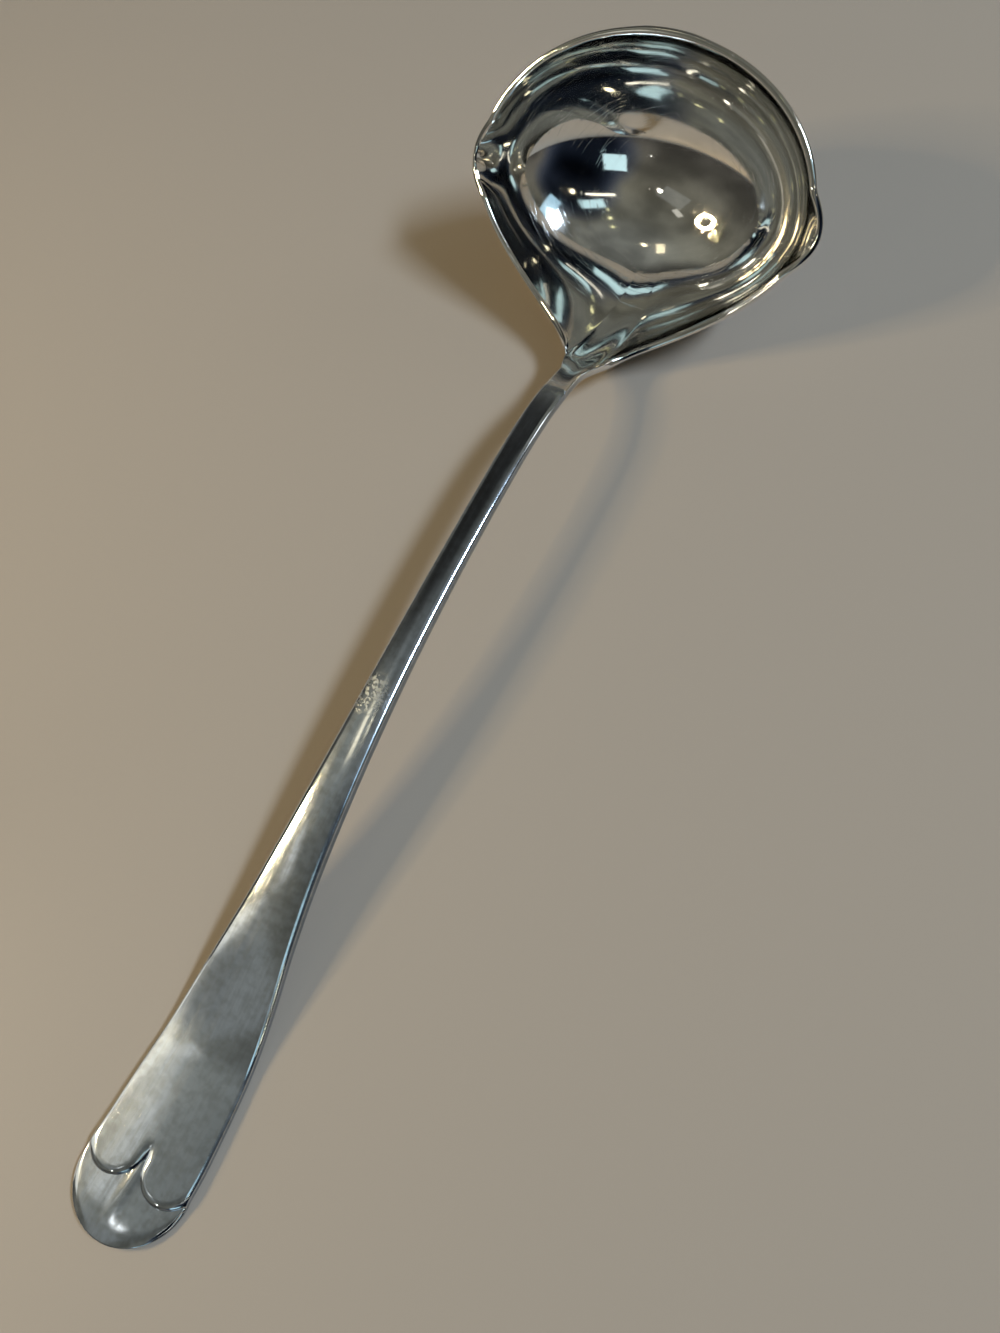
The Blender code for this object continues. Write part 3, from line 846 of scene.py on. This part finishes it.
def weighted_sum(tree, start, parts):
    """Starting value plus each part's value times its weight."""
    result = start
    for value, weight in parts:
        result = combine(tree, "ADD", result, combine(tree, "MULTIPLY", value, weight))
    return result


def silver_colour(tree, look, place, streak, neck):
    """Tint mottled by tarnish, specks and dull streaks, darkened on the sides by soil and painted shade."""
    cloud = stretch(tree, noise(tree, place, look["tarnish_scale"], 6.0, 0.6), 0.42, 0.78)
    specks = stretch(tree, noise(tree, place, look["speckle_scale"], 6.0), 0.38, 0.68)
    parts = [(cloud, look["tarnish"]), (specks, look["speckle"]), (streak, look["streak_dull"])]
    colour = mixed(tree, weighted_sum(tree, 0.0, parts), look["tint"], TARNISH_TINT)
    # Darker sides: partly soil, partly painted shade standing for the dark reflections of the shadowed
    # floor beside the handle and neck
    side = add_node(tree, "ShaderNodeAttribute", {"attribute_name": "side"}).outputs["Fac"]
    soil_and_shade = weighted_sum(tree, look["side_soil_and_shade"], [(neck, NECK_SOIL_AND_SHADE)])
    soiled_and_shaded = combine(tree, "MULTIPLY", soil_and_shade, stretch(tree, side, 0.55, 1.0))
    return mixed(tree, soiled_and_shaded, colour, SOIL_AND_SHADE_TINT)


def silver_rough(tree, look, place, streak, neck, lines):
    """Roughness: polished metal, rougher on smudges, streaks, scratches, the neck and the rubbed spot."""
    smudge = stretch(tree, noise(tree, place, look["smudge_scale"], 5.0, 0.4), 0.38, 0.72)
    scuffs = combine(tree, "MAXIMUM", *(scratches(tree, place, turn) for turn in SCRATCH_TURNS))
    parts = [
        (smudge, look["smudge_rough"]),
        (streak, look["streak_rough"]),
        (lines, look["line_rough"]),
        (neck, look["neck_rough"]),
        (scuffs, look["scuff_rough"]),
        (rubbed(tree, place), look["rub_rough"]),
    ]
    return weighted_sum(tree, look["rough"], parts)


def silver_normal(tree, look, place, grain, lines):
    """Normal of a faintly wavy surface with fine polishing marks and hairline scratches."""
    waves = noise(tree, place, look["wave_scale"], 1.0)
    fine = noise(tree, grain, look["fine_scale"], 3.0)
    parts = [(waves, look["wave_height"]), (fine, look["fine_height"]), (lines, -look["line_depth"])]
    height = weighted_sum(tree, 0.0, parts)
    bump = add_node(tree, "ShaderNodeBump", inputs={"Height": height, "Distance": 1.0, "Strength": 1.0})
    return bump.outputs["Normal"]


def silver_material(name, look):
    """Silver plate with polishing marks along the grain, scratches, smudges, mottled tarnish, and soil with
    painted shade on the sides.
    """
    material = bpy.data.materials.new(name)
    material.use_nodes = True
    tree = material.node_tree
    place = add_node(tree, "ShaderNodeTexCoord").outputs["Object"]
    grain = add_node(tree, "ShaderNodeAttribute", {"attribute_name": "grain"}).outputs["Vector"]
    streak = stretch(tree, noise(tree, grain, look["streak_scale"], 4.0), 0.38, 0.66)
    patches = stretch(tree, noise(tree, place, look["patch_scale"], 2.0), 0.45, 0.6)
    lines = hairlines(tree, grain, look["line_scale"], look["line_width"])
    lines = combine(tree, "MULTIPLY", lines, patches)
    up_neck = add_node(tree, "ShaderNodeSeparateXYZ", inputs={0: grain}).outputs["Z"]
    neck = stretch(tree, up_neck, -NECK_SATIN, 0.0, 1.0, 0.0)
    shader = tree.nodes["Principled BSDF"]
    shader.inputs["Metallic"].default_value = 1.0
    tree.links.new(silver_colour(tree, look, place, streak, neck), shader.inputs["Base Color"])
    tree.links.new(silver_rough(tree, look, place, streak, neck, lines), shader.inputs["Roughness"])
    tree.links.new(silver_normal(tree, look, place, grain, lines), shader.inputs["Normal"])
    return material


def floor_material():
    """Plain pale paper."""
    material = bpy.data.materials.new("pale_paper")
    material.use_nodes = True
    shader = material.node_tree.nodes["Principled BSDF"]
    shader.inputs["Base Color"].default_value = PAPER_TINT
    shader.inputs["Roughness"].default_value = PAPER_ROUGH
    return material


def make_floor():
    """Plain pale floor under the ladle."""
    mesh = bpy.data.meshes.new("floor")
    sides = ((-1, -1), (1, -1), (1, 1), (-1, 1))
    corners = [(x * FLOOR_REACH, y * FLOOR_REACH, 0) for x, y in sides]
    mesh.from_pydata(corners, [], [(0, 1, 2, 3)])
    mesh.materials.append(floor_material())
    floor = bpy.data.objects.new("floor", mesh)
    bpy.context.scene.collection.objects.link(floor)


def make_camera(end):
    """Camera at the photograph's place, with the handle's end at y = end."""
    data = bpy.data.cameras.new("camera")
    data.sensor_width = SENSOR
    data.lens = FOCAL_PIXELS / IMAGE_HEIGHT * SENSOR
    data.clip_start = CLIP_START
    camera = bpy.data.objects.new("camera", data)
    right = CAMERA_RIGHT.normalized()
    back = right.cross(-CAMERA_DOWN).normalized()
    up = back.cross(right)
    pose = Matrix((right, up, back)).transposed().to_4x4()
    pose.translation = CAMERA_PLACE + Vector((0, end, 0))
    camera.matrix_world = pose
    bpy.context.scene.collection.objects.link(camera)
    bpy.context.scene.camera = camera


def heading(azimuth, elevation):
    """Direction from the ladle, azimuth from +Y towards +X, in degrees."""
    a = math.radians(azimuth)
    e = math.radians(elevation)
    return Vector((math.sin(a) * math.cos(e), math.cos(a) * math.cos(e), math.sin(e)))


def add_lamp(name, aim, azimuth, elevation, distance, size, power, colour):
    """Soft rectangular lamp that faces its aim, azimuth from +Y towards +X, in degrees."""
    data = bpy.data.lights.new(name, "AREA")
    data.shape = "RECTANGLE"
    data.size = size[0]
    data.size_y = size[1]
    data.energy = power
    data.color = colour
    lamp = bpy.data.objects.new(name, data)
    away = heading(azimuth, elevation)
    lamp.location = aim + away * distance
    lamp.rotation_euler = away.to_track_quat("Z", "Y").to_euler()
    bpy.context.scene.collection.objects.link(lamp)
    lamp.visible_camera = False
    return lamp


def make_world():
    """Dim room: dark near the horizon, lighter overhead, uneven as a room is, with a few darker sides."""
    world = bpy.data.worlds.new("room")
    bpy.context.scene.world = world
    world.use_nodes = True
    tree = world.node_tree
    direction = add_node(tree, "ShaderNodeTexCoord").outputs["Generated"]
    height = add_node(tree, "ShaderNodeSeparateXYZ", inputs={0: direction}).outputs["Z"]
    ramp = add_node(tree, "ShaderNodeValToRGB", inputs={"Fac": height})
    stops = ramp.color_ramp.elements
    while len(stops) < len(ROOM_STOPS):
        stops.new(0.5)
    for stop, (place, tint) in zip(stops, ROOM_STOPS):
        stop.position = place
        stop.color = tint
    level = stretch(tree, noise(tree, direction, ROOM_PATCH_SCALE, 2.0), 0.35, 0.65, *ROOM_UNEVEN)
    colour = ramp.outputs["Color"]
    for azimuth, elevation, darkest, tint in DARK_SIDES:
        inputs = {0: direction, 1: heading(azimuth, elevation)}
        toward = add_node(tree, "ShaderNodeVectorMath", {"operation": "DOT_PRODUCT"}, inputs)
        dark = stretch(tree, toward.outputs["Value"], DARK_BEGIN, DARK_END, 1.0, darkest)
        level = combine(tree, "MULTIPLY", level, dark)
        colour = mixed(tree, dark, tint, colour)
    background = tree.nodes["Background"]
    tree.links.new(colour, background.inputs["Color"])
    tree.links.new(level, background.inputs["Strength"])


def make_light():
    """Studio light in a dim room: a cool panel at the right, a warm ring at the left and small panels."""
    make_world()
    for lamp in LAMPS:
        add_lamp(*lamp)
    for k in range(RING_BULBS):
        turn = 2 * math.pi * k / RING_BULBS
        bulb = add_lamp(*RING_LAMP)
        across = Vector((math.cos(turn), math.sin(turn), 0)) * RING_RADIUS
        bulb.location += bulb.rotation_euler.to_matrix() @ across


def main():
    """Build the ladle, floor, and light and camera."""
    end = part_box("handle")[0].y
    bowl_silver = silver_material("bowl_silver", BOWL_LOOK)
    handle_silver = silver_material("handle_silver", HANDLE_LOOK)
    solder_silver = silver_material("solder_silver", HANDLE_LOOK)
    place = make_bowl(bowl_silver, end)
    make_solder(solder_silver, place)
    make_handle(handle_silver, place, end)
    make_floor()
    make_light()
    make_camera(end)
    bpy.context.scene.view_settings.view_transform = "Standard"


main()
